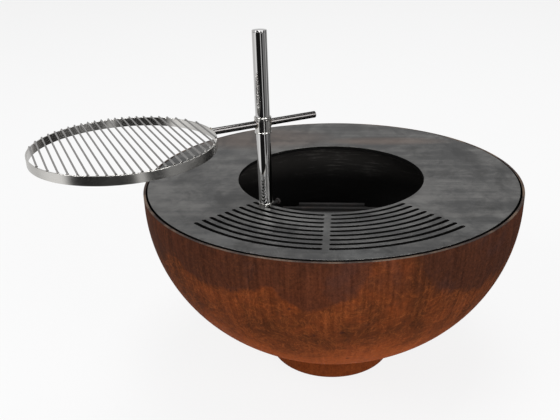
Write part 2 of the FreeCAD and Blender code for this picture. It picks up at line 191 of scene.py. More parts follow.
def rod(radius, length, edge, steps=24):
    """A round bar that stands on its lower end, with rounded edges."""
    bm = bmesh.new()
    bmesh.ops.create_cone(bm, cap_ends=True, segments=steps, radius1=radius, radius2=radius,
                          depth=length)
    bmesh.ops.translate(bm, verts=bm.verts, vec=(0, 0, length / 2))
    return round_edges(bm, edge)


def block(length, width, tall, edge):
    """A bar centred on X and Y that stands on its lower face."""
    bm = bmesh.new()
    bmesh.ops.create_cube(bm, size=1)
    bmesh.ops.scale(bm, verts=bm.verts, vec=(length, width, tall))
    bmesh.ops.translate(bm, verts=bm.verts, vec=(0, 0, tall / 2))
    return round_edges(bm, edge)


def thread(radius, length, pitch):
    """A screw thread as rings of a zigzag line, closed at both ends."""
    root = radius - pitch / 2
    line = Outline(0, 0).line((root, 0))
    for ring in range(int(length / pitch)):
        line.line((radius, (ring + 0.5) * pitch), (root, (ring + 1) * pitch))
    line.line((root, length), (0, length))
    return line.turned(20, closed=False)


def hexagon(across, tall, bore=0.0):
    """A nut or a bolt's head: a hexagon whose corners are turned down, with or without a bore."""
    corner = across / math.sqrt(3)
    bm = bmesh.new()
    bmesh.ops.create_cone(bm, cap_ends=True, segments=6, radius1=corner, radius2=corner,
                          depth=tall)
    bmesh.ops.translate(bm, verts=bm.verts, vec=(0, 0, tall / 2))
    if bore:
        ends = [f for f in bm.faces if abs(f.normal.z) > 0.9]
        to_flats = corner - across / 2
        to_bore = across / 2 * 0.86 - bore
        for thickness in (to_flats, to_bore):
            bmesh.ops.inset_individual(bm, faces=ends, thickness=thickness)
        bmesh.ops.bridge_loops(bm, edges=[e for f in ends for e in f.edges])
        bmesh.ops.delete(bm, geom=ends, context="FACES_ONLY")
    return round_edges(tidy(bm), 0.7 * MM, segments=2)


def weld_ring(seat, ring, bead):
    """A ripple of weld round the end of a tube that meets a round wall of radius seat along X."""
    beads = 26
    bm = bmesh.new()
    bmesh.ops.create_circle(bm, segments=10, radius=bead)
    upright = Matrix.Translation((0, 0, ring)) @ Matrix.Rotation(QUARTER, 4, "X")
    bmesh.ops.transform(bm, matrix=upright, verts=bm.verts)
    bmesh.ops.spin(bm, geom=bm.verts[:] + bm.edges[:], cent=(0, 0, 0), axis=(1, 0, 0),
                   angle=FULL_TURN, steps=4 * beads, use_merge=True, use_duplicate=False)
    tidy(bm)
    for vert in bm.verts:
        angle = math.atan2(vert.co.z, vert.co.y)
        swell = 1 + 0.12 * math.sin(beads * angle)
        centre = Vector((0, math.cos(angle), math.sin(angle))) * ring
        vert.co = centre + (vert.co - centre) * swell
        vert.co.x += math.sqrt(max(seat ** 2 - vert.co.y ** 2, 0))
    return bm


def finished(name, bm, body, finishes, replaces=()):
    """Makes a piece of a mesh that is in its place, and ties it to its body."""
    for face in bm.faces:
        face.smooth = True
    for edge in bm.edges:
        if edge.is_manifold and edge.calc_face_angle() > SHARP:
            edge.smooth = False
    mesh = bpy.data.meshes.new(name)
    bm.to_mesh(mesh)
    bm.free()
    for finish in finishes:
        mesh.materials.append(finish)
    item = bpy.data.objects.new(name, mesh)
    bpy.context.scene.collection.objects.link(item)
    weighted = item.modifiers.new("flat_faces", "WEIGHTED_NORMAL")
    weighted.keep_sharp = True
    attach(item, body)
    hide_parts(*replaces)


# ------------------------------------------------------------------ finishes


class Value:
    """A number or a colour inside a graph, which Python can reckon with."""

    def __init__(self, graph, socket):
        self.graph = graph
        self.socket = socket

    def __add__(self, other):
        return self.graph.maths("ADD", self, other)

    def __sub__(self, other):
        return self.graph.maths("SUBTRACT", self, other)

    def __rsub__(self, other):
        return self.graph.maths("SUBTRACT", other, self)

    def __mul__(self, other):
        return self.graph.maths("MULTIPLY", self, other)

    def __truediv__(self, other):
        return self.graph.maths("DIVIDE", self, other)

    def __pow__(self, other):
        return self.graph.maths("POWER", self, other)

    __radd__ = __add__
    __rmul__ = __mul__


class Graph:
    """The nodes of one finish, or of the studio round the part."""

    def __init__(self, tree):
        self.tree = tree
        tree.nodes.clear()

    def node(self, kind, settings=None, values=None, out=0, stops=None):
        item = self.tree.nodes.new(kind)
        for name, setting in (settings or {}).items():
            setattr(item, name, setting)
        if stops:
            ramp = item.color_ramp.elements
            while len(ramp) < len(stops):
                ramp.new(1.0)
            for element, (position, colour) in zip(ramp, stops):
                element.position = position
                element.color = (*colour, 1.0)
        for key, value in (values or {}).items():
            if isinstance(value, Value):
                self.tree.links.new(value.socket, item.inputs[key])
            else:
                item.inputs[key].default_value = value
        return Value(self, item.outputs[out])

    def end(self, kind, surface):
        """Joins a surface to the output of the tree."""
        output = self.tree.nodes.new(kind)
        self.tree.links.new(surface.socket, output.inputs["Surface"])

    def axes(self, vector):
        return [self.node("ShaderNodeSeparateXYZ", values={"Vector": vector}, out=axis)
                for axis in "XYZ"]

    def maths(self, operation, first, second=0.0):
        return self.node("ShaderNodeMath", {"operation": operation}, {0: first, 1: second})

    def step(self, value, low, high):
        """0 below low, 1 above high, and smooth between them."""
        return self.node("ShaderNodeMapRange", {"interpolation_type": "SMOOTHSTEP"},
                         {"Value": value, "From Min": low, "From Max": high})

    def fall(self, value, low, high):
        """1 below low, 0 above high, and smooth between them."""
        return 1 - self.step(value, low, high)

    def mix(self, share, first, second):
        """A colour that goes from the first to the second as the share goes from 0 to 1."""
        return self.node("ShaderNodeMix", {"data_type": "RGBA"}, {0: share, 6: first, 7: second},
                         out=2)

    def shade(self, colour, factor):
        """A colour made lighter or darker by a number."""
        return self.node("ShaderNodeVectorMath", {"operation": "SCALE"},
                         {0: colour, "Scale": factor})


class Finish(Graph):
    """A material whose patterns lie on the Object coordinates of the piece that wears it."""

    def __init__(self, name):
        self.material = bpy.data.materials.new(name)
        self.material.use_nodes = True
        super().__init__(self.material.node_tree)
        self.place = self.node("ShaderNodeTexCoord", out="Object")
        self.x, self.y, self.z = self.axes(self.place)

    def from_axis(self):
        """How far a point is from the axis of the bowl."""
        return (self.x * self.x + self.y * self.y) ** 0.5

    def stretched(self, x, y, z):
        """Object coordinates drawn out, so that a pattern is fine where the factor is large."""
        return self.node("ShaderNodeMapping", values={"Vector": self.place, "Scale": (x, y, z)})

    def noise(self, scale, detail, rough, place=None, warp=0.0):
        """A cloudy pattern with about this many clouds to the metre."""
        return self.node("ShaderNodeTexNoise",
                         values={"Vector": place or self.place, "Scale": scale, "Detail": detail,
                                 "Roughness": rough, "Distortion": warp})

    def relief(self, level, depth):
        return self.node("ShaderNodeBump",
                         values={"Height": level, "Strength": 1.0, "Distance": depth})

    def steel(self, colour, roughness, metallic, relief, specular=0.5):
        """Ends the finish with a surface shader and gives the material."""
        surface = self.node("ShaderNodeBsdfPrincipled",
                            values={"Base Color": colour, "Roughness": roughness,
                                    "Metallic": metallic, "Specular IOR Level": specular,
                                    "Normal": relief})
        self.end("ShaderNodeOutputMaterial", surface)
        return self.material


def paint(red, green, blue):
    """A colour given as it looks on a screen, from 0 to 255."""
    linear = []
    for part in (red, green, blue):
        share = part / 255
        linear.append(share / 12.92 if share <= 0.04045 else ((share + 0.055) / 1.055) ** 2.4)
    return (*linear, 1.0)


def round_place(finish, wide, tall):
    """Coordinates that run round the axis and up it, without a seam."""
    radius = finish.from_axis()
    return finish.node("ShaderNodeCombineXYZ",
                       values={0: finish.x / radius * wide, 1: finish.y / radius * wide,
                               2: finish.z * tall})


# Where run-off has left the rust dark below the rim: azimuth, half angle, drop and strength
DARK_LOBES = [
    (-43, 23, 0.146, 1.00),
    (-72, 14, 0.100, 0.30),
    (-92, 14, 0.122, 0.85),
    (-119, 22, 0.104, 0.90),
    (-150, 22, 0.112, 0.80),
    (-4, 24, 0.100, 0.75),
    (38, 20, 0.120, 1.00),
    (74, 23, 0.090, 0.60),
    (113, 21, 0.125, 0.90),
    (152, 24, 0.105, 0.70),
    (-176, 15, 0.120, 0.85),
]


def dark_lobes(finish, waver):
    """How dark the stains that hang below the rim are, with wavering edges."""
    radius = finish.from_axis()
    inside = 0.0
    for azimuth, half, drop, strength in DARK_LOBES:
        angle = math.radians(azimuth)
        facing = (finish.x * math.cos(angle) + finish.y * math.sin(angle)) / radius
        across = (1 - facing) * (2 / math.radians(half) ** 2)
        down = ((RIM - finish.z) / drop) ** 2
        lobe = finish.fall(across + down + waver, 0.84, 1.16) * strength
        inside = finish.maths("MAXIMUM", inside, lobe)
    return inside


def weathered_rust(name, dulled=1.0):
    """Weathering steel: mottled brown and orange, with run-off stains and fine streaks."""
    f = Finish(name)
    cloud = f.noise(3.4, 6, 0.62, warp=0.5)
    blotch = f.noise(17, 8, 0.66, warp=0.9)
    grain = f.noise(140, 5, 0.8)
    high = f.step(f.z, 0.30, 0.42)
    runs = f.noise(1.0, 4, 0.62, place=round_place(f, 62, 7))
    wide_runs = f.noise(1.0, 4, 0.5, place=round_place(f, 9, 2.0))
    lobes = dark_lobes(f, (f.noise(7, 6, 0.68) - 0.5) * 1.7)
    low = f.fall(f.z, 0.08, 0.36)
    orange = f.step(cloud * 0.5 + blotch * 0.42 + wide_runs * 0.2 + low * 0.34, 0.47, 0.80)
    colour = f.mix(orange, paint(75, 40, 22), paint(124, 60, 28))
    strokes = f.fall(f.maths("ABSOLUTE", f.noise(13, 5, 0.7, warp=2.2) - 0.5), 0.0, 0.035)
    colour = f.mix(strokes * 0.30, colour, paint(146, 80, 40))
    colour = f.mix(lobes * (0.50 + blotch * 0.55), colour, paint(59, 34, 25))
    purple = f.step(f.noise(6.0, 5, 0.62, warp=0.8), 0.52, 0.70)
    colour = f.mix(purple * (0.16 + high * 0.10 + lobes * 0.36), colour, paint(66, 42, 36))
    fine = 0.5 + (runs - 0.5) * (0.5 + high * 0.7) + (grain - 0.5) * 1.5
    colour = f.shade(colour, (0.38 + fine) * (0.87 + low * 0.80) * dulled)
    pits = f.step(f.noise(46, 2, 0.4), 0.70, 0.76)
    colour = f.mix(pits * 0.6, colour, paint(46, 25, 20))
    relief = f.relief(grain * 0.6 + blotch * 0.4 - pits * 0.3, 0.5 * MM)
    return f.steel(colour, 0.62 + grain * 0.22 - lobes * 0.06, 0.0, relief, specular=0.02)


def bare_rim():
    """The cut edge of the bowl, rubbed bright between traces of rust."""
    f = Finish("bare_rim")
    rust = f.step(f.noise(9, 5, 0.65), 0.40, 0.56)
    fine = f.noise(220, 3, 0.6)
    colour = f.mix(rust, paint(96, 76, 60), paint(46, 30, 23))
    colour = f.shade(colour, 0.55 + fine * 0.45)
    return f.steel(colour, 0.48 + rust * 0.25, 0.2, f.relief(fine, 0.15 * MM))


def soot():
    """Burnt steel inside the fire: near black, with pale ash in faint level streaks."""
    f = Finish("soot")
    streak = f.noise(1.0, 6, 0.65, place=f.stretched(14, 14, 150))
    cloud = f.noise(9, 6, 0.6)
    ash = f.step(streak * 0.6 + cloud * 0.5, 0.55, 0.78)
    colour = f.mix(ash, paint(56, 54, 52), paint(106, 103, 100))
    ash_level = f.step(f.z, 0.34, 0.45) * f.fall(f.z, 0.48, 0.50)
    colour = f.shade(colour, 0.04 + ash_level * 0.96)
    flake = f.noise(130, 5, 0.7)
    relief = f.relief(flake * 0.7 + streak * 0.3, 0.5 * MM)
    return f.steel(colour, 0.62 + flake * 0.3, 0.15, relief, specular=0.1)


def oval(finish, x, y, along, across, edge):
    """1 in the middle of an oval stain on the plate, and 0 from its edge outwards."""
    spread = ((finish.x - x) ** 2) * along + ((finish.y - y) ** 2) * across
    return finish.fall(spread, 0.0, edge)


def seasoned_steel():
    """Oiled and burnt-in plate: grey, with fine rolling lines, smears and heat tints."""
    f = Finish("seasoned_steel")
    lines = f.noise(1.0, 5, 0.66, place=f.stretched(11, 210, 40))
    streak = f.noise(1.0, 5, 0.55, place=f.stretched(2.6, 30, 8))
    cloud = f.noise(4.2, 5, 0.6, warp=0.5)
    mottle = f.noise(34, 6, 0.72, warp=0.7)
    tone = f.step(streak * 0.26 + cloud * 0.46 + mottle * 0.30, 0.42, 0.64)
    colour = f.mix(tone, paint(82, 82, 82), paint(122, 121, 119))
    brown = f.maths("MAXIMUM", oval(f, -0.24, 0.33, 16, 75, 1.3), oval(f, 0.16, 0.30, 18, 420, 1.0))
    colour = f.mix(brown * (0.15 + streak * 0.5), colour, paint(120, 100, 88))
    blue = f.fall(f.y, -0.47, -0.18) * f.step(cloud, 0.4, 0.65)
    colour = f.mix(blue * 0.25, colour, paint(88, 94, 99))
    smear = f.step(f.noise(1.0, 6, 0.62, place=f.stretched(9, 5, 5), warp=0.8), 0.52, 0.62)
    front = f.fall(f.y, -0.42, -0.15)
    colour = f.shade(colour, 0.74 + lines * 0.50 - smear * 0.30 - front * 0.11)
    rough = 0.34 + lines * 0.14 + mottle * 0.14 - smear * 0.04
    return f.steel(colour, rough, 0.82, f.relief(lines * 0.5 + mottle * 0.5, 0.10 * MM))


def worn_edge():
    """The rounded edges of the plate, where tools have rubbed the seasoning off."""
    f = Finish("worn_edge")
    wear = f.step(f.noise(16, 5, 0.6), 0.38, 0.6)
    fine = f.noise(300, 3, 0.6)
    colour = f.shade(f.mix(wear, paint(84, 84, 83), paint(140, 138, 134)), 0.8 + fine * 0.4)
    return f.steel(colour, 0.34 + fine * 0.12, 0.9, f.relief(fine, 0.05 * MM))


def stainless(name, colour, roughness, brush, depth):
    """Stainless steel with fine hairs, drawn out along X, Y and Z by the numbers in brush."""
    f = Finish(name)
    hairs = 600
    hair = f.noise(1.0, 4, 0.6, place=f.stretched(*[hairs / drawn for drawn in brush]))
    smear = f.noise(18, 4, 0.6)
    shade = 0.84 + hair * 0.22 + smear * 0.10
    rough = roughness * (0.65 + hair * 0.45 + smear * 0.35)
    return f.steel(f.shade(colour[:3], shade), rough, 1.0, f.relief(hair, depth * MM))


def heat_tint():
    """Weld beads on stainless steel: straw and blue tints over a rippled grey."""
    f = Finish("heat_tint")
    spread = f.noise(60, 4, 0.6)
    fine = f.noise(500, 3, 0.6)
    colour = f.node("ShaderNodeValToRGB", values={0: spread}, stops=[
        (0.30, (0.34, 0.34, 0.34)), (0.48, (0.30, 0.26, 0.20)), (0.60, (0.18, 0.18, 0.21)),
        (0.74, (0.40, 0.39, 0.38))])
    colour = f.shade(colour, 0.8 + fine * 0.4)
    return f.steel(colour, 0.26 + fine * 0.2, 1.0, f.relief(fine, 0.1 * MM))


def zinc():
    """Zinc plate on screws and nuts, dulled in patches."""
    f = Finish("zinc")
    patch = f.node("ShaderNodeTexVoronoi", values={"Vector": f.place, "Scale": 420.0})
    dull = f.noise(90, 4, 0.6)
    colour = f.mix(f.step(dull, 0.45, 0.7), paint(176, 176, 172), paint(128, 122, 112))
    colour = f.shade(colour, 0.82 + patch * 0.5)
    return f.steel(colour, 0.32 + dull * 0.3, 1.0, f.relief(dull, 0.05 * MM))


def burnt_iron():
    """Scaled black steel with rust and ash in the scale."""
    f = Finish("burnt_iron")
    scale = f.noise(75, 6, 0.7, warp=0.6)
    rust = f.step(f.noise(21, 5, 0.65), 0.52, 0.72)
    ash = f.step(f.noise(34, 6, 0.7), 0.56, 0.74)
    colour = f.mix(rust, paint(26, 24, 23), paint(52, 35, 27))
    colour = f.mix(ash * 0.5, colour, paint(72, 69, 66))
    colour = f.shade(colour, 0.35 + scale * 0.4)
    return f.steel(colour, 0.74 + scale * 0.2, 0.1, f.relief(scale, 0.6 * MM))


RUST = weathered_rust("weathered_rust")
DULL_RUST = weathered_rust("dull_rust", 0.33)
BARE_RIM = bare_rim()
SOOT = soot()
PLATE_STEEL = seasoned_steel()
WORN_EDGE = worn_edge()
POLISHED = stainless("polished_tube", paint(216, 215, 214), 0.045, (1, 1, 30), 0.002)
TURNED = stainless("turned_collar", paint(206, 204, 200), 0.12, (1, 1, 0.6), 0.006)
SATIN = stainless("satin_tube", paint(88, 86, 85), 0.20, (1, 1, 1), 0.002)
BRUSHED = stainless("brushed_band", paint(214, 212, 208), 0.21, (10, 10, 1), 0.02)
WIRE = stainless("drawn_wire", paint(150, 148, 146), 0.24, (1, 1, 1), 0.004)
HEAT_TINT = heat_tint()
ZINC = zinc()
IRON = burnt_iron()


# ------------------------------------------------------------------ bowl and base

DISH_TOP = RIM - FLANGE
CROWN_LEVEL = DISH_TOP - DISH_DEPTH + CROWN
# The radius of an arc that meets both the crown and the straight flange without a corner
KNUCKLE = ((CROWN ** 2 - (CROWN - DISH_DEPTH) ** 2 - BOWL_RADIUS ** 2)
           / (2 * (CROWN - BOWL_RADIUS)))
BOWL_INSIDE = BOWL_RADIUS - BOWL_WALL
RIM_BAND = 1.2 * MM
DRAIN_RADIUS = 26 * MM
BASE_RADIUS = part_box("base_ring")[1].x
BASE_WALL = 6 * MM


def dish_level(radius):
    """Height of the outside of the dish at a radius within its crown."""
    return CROWN_LEVEL - math.sqrt(CROWN ** 2 - radius ** 2)


def make_bowl():
    """The dish: a crown arc, a tighter knuckle arc and a straight flange, all one wall thick."""
    knuckle_middle = BOWL_RADIUS - KNUCKLE
    to_meeting = math.atan2(knuckle_middle, CROWN_LEVEL - DISH_TOP)
    crown_sweep = to_meeting - math.asin(DRAIN_RADIUS / CROWN)
    back_sweep = to_meeting - math.asin(DRAIN_RADIUS / (CROWN - BOWL_WALL))
    line = Outline(DRAIN_RADIUS, dish_level(DRAIN_RADIUS))
    line.arc(0, CROWN_LEVEL, crown_sweep, 22)
    line.arc(knuckle_middle, DISH_TOP, QUARTER - to_meeting, 24)
    line.line((BOWL_RADIUS, RIM), (BOWL_INSIDE, RIM), (BOWL_INSIDE, DISH_TOP))
    line.arc(knuckle_middle, DISH_TOP, to_meeting - QUARTER, 24)
    line.arc(0, CROWN_LEVEL, -back_sweep, 22)
    bm = round_edges(line.turned(288), 0.9 * MM)
    finishes = [RUST, BARE_RIM, SOOT]
    for face in bm.faces:
        spot = face.calc_center_median()
        outwards = face.normal.dot(spot - Vector((0, 0, RIM)))
        if spot.z > RIM - RIM_BAND:
            face.material_index = finishes.index(BARE_RIM)
        elif outwards < 0:
            face.material_index = finishes.index(SOOT)
    finished("bowl_shell", bm, "base", finishes, ["bowl"])


def make_base():
    """The ring that the bowl stands on, and the weld between them."""
    inside = BASE_RADIUS - BASE_WALL
    line = Outline(inside, 0).line((BASE_RADIUS, 0), (BASE_RADIUS, dish_level(BASE_RADIUS)),
                                   (inside, dish_level(inside)))
    ring = round_edges(line.turned(160), 0.8 * MM)
    finished("base_foot", ring, "base", [DULL_RUST], ["base_ring"])
    beads = 180
    bead = 2.6 * MM
    ripple = 0.3 * MM
    line = Outline(BASE_RADIUS + bead, dish_level(BASE_RADIUS))
    line.arc(BASE_RADIUS, dish_level(BASE_RADIUS), FULL_TURN * 7 / 8, 7)
    weld = line.turned(beads * 4)
    for vert in weld.verts:
        angle = math.atan2(vert.co.y, vert.co.x)
        vert.co.z += ripple * math.sin(beads * angle)
    finished("base_weld", weld, "base", [DULL_RUST])


def make_drain():
    """The collar under the drain hole, and the plug with its tab."""
    low, high = bottom("drain_collar"), top("drain_collar")
    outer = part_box("drain_collar")[1].x
    line = Outline(DRAIN_RADIUS, low)
    line.line((outer, low), (outer, high), (DRAIN_RADIUS, high - 2 * MM))
    collar = round_edges(line.turned(64), 0.8 * MM)
    finished("drain_neck", collar, "base", [RUST], ["drain_collar"])
    flange_radius = 34 * MM
    flange_low = low - 4 * MM
    stem = DRAIN_RADIUS - 0.4 * MM
    stem_top = top("drain_plug")
    line = Outline(0, flange_low).line((flange_radius, flange_low), (flange_radius, low),
                                       (stem, low), (stem, stem_top), (0, stem_top))
    plug = round_edges(line.turned(64, closed=False), 0.8 * MM)
    tab_low = bottom("drain_plug")
    tab = moved(block(30 * MM, 6 * MM, flange_low - tab_low, 1.2 * MM), (0, 0, tab_low))
    finished("drain_stopper", joined(plug, tab), "base", [ZINC], ["drain_plug"])


# ------------------------------------------------------------------ plate supports

SUPPORTS = [math.radians(45 + 90 * k) for k in range(4)]
BRACKET_TOP = top("plate_brackets")
BRACKET_THICK = 5 * MM
BRACKET_LOW = BRACKET_TOP - BRACKET_THICK
SCREW_OUT = BOWL_INSIDE - 22 * MM
SCREW_SIDE = 14 * MM
SCREW_RADIUS = 5 * MM
SCREW_PITCH = 1.5 * MM
HEAD_TALL = 5 * MM
NUT_TALL = 8 * MM
ACROSS = 17 * MM


def on_bracket(bm, level, turn):
    """Puts a shape on the line of the levelling screw of one bracket."""
    return moved(moved(bm, (SCREW_OUT, SCREW_SIDE, level)), turn=turn)


def make_gusset():
    """The triangle under a bracket, upright and along the radius."""
    drop = 34 * MM
    bm = bmesh.new()
    corners = [(BOWL_INSIDE - 3 * MM, 0), (BOWL_INSIDE - drop, 0), (BOWL_INSIDE - 9 * MM, -drop)]
    side = bm.faces.new([bm.verts.new((x, -BRACKET_THICK / 2, z)) for x, z in corners])
    grown = bmesh.ops.extrude_face_region(bm, geom=[side])
    far_side = [v for v in grown["geom"] if isinstance(v, bmesh.types.BMVert)]
    bmesh.ops.translate(bm, verts=far_side, vec=(0, BRACKET_THICK, 0))
    return moved(round_edges(tidy(bm), 0.8 * MM), (0, 0, BRACKET_LOW))


def make_bracket(turn):
    length = 40 * MM
    tab = moved(block(length, 50 * MM, BRACKET_THICK, 0.8 * MM),
                (BOWL_INSIDE - 2 * MM - length / 2, 0, BRACKET_LOW))
    return moved(joined(tab, make_gusset()), turn=turn)


def make_supports():
    """The brackets, their levelling screws, and a nut above and below each bracket."""
    brackets = joined(*[make_bracket(turn) for turn in SUPPORTS])
    finished("plate_tabs", brackets, "base", [SOOT], ["plate_brackets"])
    low = bottom("levelling_screws")
    head_low = PLATE_BOTTOM - HEAD_TALL
    screws = []
    nuts = []
    for turn in SUPPORTS:
        screws.append(on_bracket(hexagon(ACROSS, HEAD_TALL), head_low, turn))
        screws.append(on_bracket(thread(SCREW_RADIUS, head_low - low, SCREW_PITCH), low, turn))
        for level in (BRACKET_TOP, BRACKET_LOW - NUT_TALL):
            nuts.append(on_bracket(hexagon(ACROSS, NUT_TALL, SCREW_RADIUS), level, turn))
    finished("levelling_bolts", joined(*screws), "base", [ZINC], ["levelling_screws"])
    finished("lock_nuts", joined(*nuts), "base", [ZINC], ["levelling_nuts"])


# ------------------------------------------------------------------ cooking ring


PLATE_EDGE = 0.3 * MM
PIN_RADIUS = 6 * MM
PIN_CIRCLE = 482 * MM
# How far an opening is widened at each level, from the top face down to the bottom face
EDGE_TURNS = [math.radians(30 * k) for k in range(4)]
EDGE_LEVELS = [(PLATE_EDGE * (1 - math.sin(a)), PLATE_TOP - PLATE_EDGE * (1 - math.cos(a)))
               for a in EDGE_TURNS]
EDGE_LEVELS += [(PLATE_EDGE * (1 - math.cos(a)), PLATE_BOTTOM + PLATE_EDGE * (1 - math.sin(a)))
                for a in EDGE_TURNS]


def circle_line(bm, radius, steps):
    """The outline of the rim or of the fire hole."""
    bmesh.ops.create_circle(bm, segments=steps, radius=radius)


def slot_line(bm, row, side, grow):
    """The closed outline of one curved slot with round ends, widened by grow."""
    radius = SLOT_FIRST + row * SLOT_PITCH
    near = FRONT + side * math.asin((RIB_HALF + SLOT_HALF) / radius)
    far = FRONT + side * (SLOT_REACH - math.asin(SLOT_HALF / radius))
    near_end, far_end = [Vector((math.cos(a), math.sin(a), 0)) * radius for a in (near, far)]
    tip = bm.verts.new(near_end * (1 + (SLOT_HALF + grow) / radius))
    middle_of_ring = (0, 0, 0)
    half_turn = side * math.pi
    for centre, angle, steps in ((middle_of_ring, far - near, 30), (far_end, half_turn, 10),
                                 (middle_of_ring, near - far, 30), (near_end, half_turn, 10)):
        spun = bmesh.ops.spin(bm, geom=[tip], cent=centre, axis=(0, 0, 1), angle=angle,
                              steps=steps, use_duplicate=False)
        tip = spun["geom_last"][0]
    bmesh.ops.remove_doubles(bm, verts=bm.verts, dist=DOUBLES)


def rounded_wall(draw):
    """The wall of one opening or edge: its outline at each level of the rounded edges, bridged."""
    loops = []
    for grow, level in EDGE_LEVELS:
        bm = bmesh.new()
        draw(bm, grow)
        loops.append(moved(bm, (0, 0, level)))
    count = len(loops[0].edges)
    bm = joined(*loops)
    edges = list(bm.edges)
    for start in range(0, len(edges) - count, count):
        bmesh.ops.bridge_loops(bm, edges=edges[start:start + 2 * count])
    return bm


def ring_walls():
    """The walls of the rim, the fire hole and the slots."""
    walls = [rounded_wall(lambda bm, grow: circle_line(bm, PLATE_RADIUS - grow, 288)),
             rounded_wall(lambda bm, grow: circle_line(bm, HOLE_RADIUS + grow, 216))]
    for row in range(SLOT_ROWS):
        for side in (1, -1):
            walls.append(rounded_wall(lambda bm, grow: slot_line(bm, row, side, grow)))
    return joined(*walls)


def make_cooking_ring():
    """A flat ring with two fans of curved slots, and a rounded edge round every opening."""
    bm = ring_walls()
    for level in (PLATE_TOP, PLATE_BOTTOM):
        rims = [e for e in bm.edges
                if e.is_boundary and abs(e.verts[0].co.z - level) < DOUBLES]
        bmesh.ops.triangle_fill(bm, edges=rims, use_beauty=True, use_dissolve=False)
    tidy(bm)
    finishes = [PLATE_STEEL, WORN_EDGE, SOOT]
    for face in bm.faces:
        spot = face.calc_center_median()
        if abs(face.normal.z) > 0.97:
            continue
        if spot.z < PLATE_TOP - PLATE_EDGE:
            face.material_index = finishes.index(SOOT)
        elif not HOLE_RADIUS + 1 * MM < spot.xy.length < PLATE_RADIUS - 1 * MM:
            face.material_index = finishes.index(WORN_EDGE)
    finished("cooking_ring", bm, "plate", finishes, ["cooking_plate"])


def make_centring_pins():
    """The lugs under the plate that keep it in the middle of the bowl."""
    low = bottom("locating_lugs")
    pins = []
    for quarter in range(4):
        pin = moved(rod(PIN_RADIUS, PLATE_BOTTOM - low, 0.9 * MM), (PIN_CIRCLE, 0, low))
        pins.append(moved(pin, turn=quarter * QUARTER))
    finished("centring_pins", joined(*pins), "plate", [PLATE_STEEL],
             ["locating_lugs"])


# ------------------------------------------------------------------ fire grate


GRATE_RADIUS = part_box("grate_ring")[1].x
GRATE_BAND = 5 * MM
BAR_COUNT = 13
BAR_PITCH = 32 * MM
LEG_CIRCLE = GRATE_RADIUS - 11 * MM
LEG_RADIUS = 6 * MM
FOOT_WIRE = 7 * MM


def make_grate_top():
    """The hoop of the fire grate and the square bars inside it."""
    hoop = tube(GRATE_RADIUS, GRATE_RADIUS - GRATE_BAND, height("grate_ring"), 0.8 * MM, 128)
    hoop = moved(hoop, (0, 0, bottom("grate_ring")))
    finished("grate_hoop", hoop, "grate", [IRON], ["grate_ring"])
    thick = height("grate_bars")
    bars = []
    for index in range(BAR_COUNT):
        across = (index - (BAR_COUNT - 1) / 2) * BAR_PITCH
        half = math.sqrt((GRATE_RADIUS - 2 * MM) ** 2 - (abs(across) + thick / 2) ** 2)
        bar = block(2 * half, thick, thick, 1.1 * MM)
        bars.append(moved(bar, (0, across, bottom("grate_bars"))))
    finished("grate_rods", joined(*bars), "grate", [IRON], ["grate_bars"])


def make_grate_stand():
    """The foot ring of the fire grate, with its four legs."""
    level = bottom("grate_stand") + FOOT_WIRE
    line = Outline(LEG_CIRCLE + FOOT_WIRE, level)
    line.arc(LEG_CIRCLE, level, FULL_TURN * 11 / 12, 11)
    pieces = [line.turned(128)]
    for turn in SUPPORTS:
        leg = rod(LEG_RADIUS, top("grate_stand") - level, 0.8 * MM)
        pieces.append(moved(moved(leg, (LEG_CIRCLE, 0, level)), turn=turn))
    finished("grate_legs", joined(*pieces), "grate", [IRON], ["grate_stand"])


# ------------------------------------------------------------------ post


POST_RADIUS = 16.85 * MM
POST_WALL = 2 * MM
POST_CIRCLE = math.hypot(POST.x, POST.y)
FOOT_RADIUS = 18 * MM
FOOT_PLAY = 0.7 * MM


def jaw(low, high, tall):
    """A slice of a round bar as wide as the foot, between two planes across X."""
    bm = bmesh.new()
    bmesh.ops.create_cone(bm, cap_ends=True, segments=72, radius1=FOOT_RADIUS, radius2=FOOT_RADIUS,
                          depth=tall)
    for place, away in ((low, -1), (high, 1)):
        cut = bmesh.ops.bisect_plane(bm, geom=bm.verts[:] + bm.edges[:] + bm.faces[:],
                                     plane_co=(place, 0, 0), plane_no=(away, 0, 0),
                                     clear_outer=True)
        edges = [e for e in cut["geom_cut"] if isinstance(e, bmesh.types.BMEdge)]
        if edges:
            bmesh.ops.contextual_create(bm, geom=edges)
    bmesh.ops.translate(bm, verts=bm.verts, vec=(0, 0, tall / 2))
    return round_edges(tidy(bm), 0.7 * MM, sharper_than=50)


def make_post():
    """The pipe of the post, and the plug that closes its end."""
    pipe = tube(POST_RADIUS, POST_RADIUS - POST_WALL, height("post_tube"), 0.4 * MM, 96)
    pipe = moved(pipe, (POST.x, POST.y, bottom("post_tube")))
    finished("post_pipe", pipe, "post", [POLISHED], ["post_tube"])
    low, high = top("post_tube"), top("post_cap")
    line = Outline(0, low).line((POST_RADIUS, low), (POST_RADIUS, high), (0, high))
    plug = round_edges(line.turned(96, closed=False), 1.3 * MM, segments=4, sharper_than=60)
    plug = moved(plug, (POST.x, POST.y, 0))
    finished("post_end", plug, "post", [POLISHED], ["post_cap"])


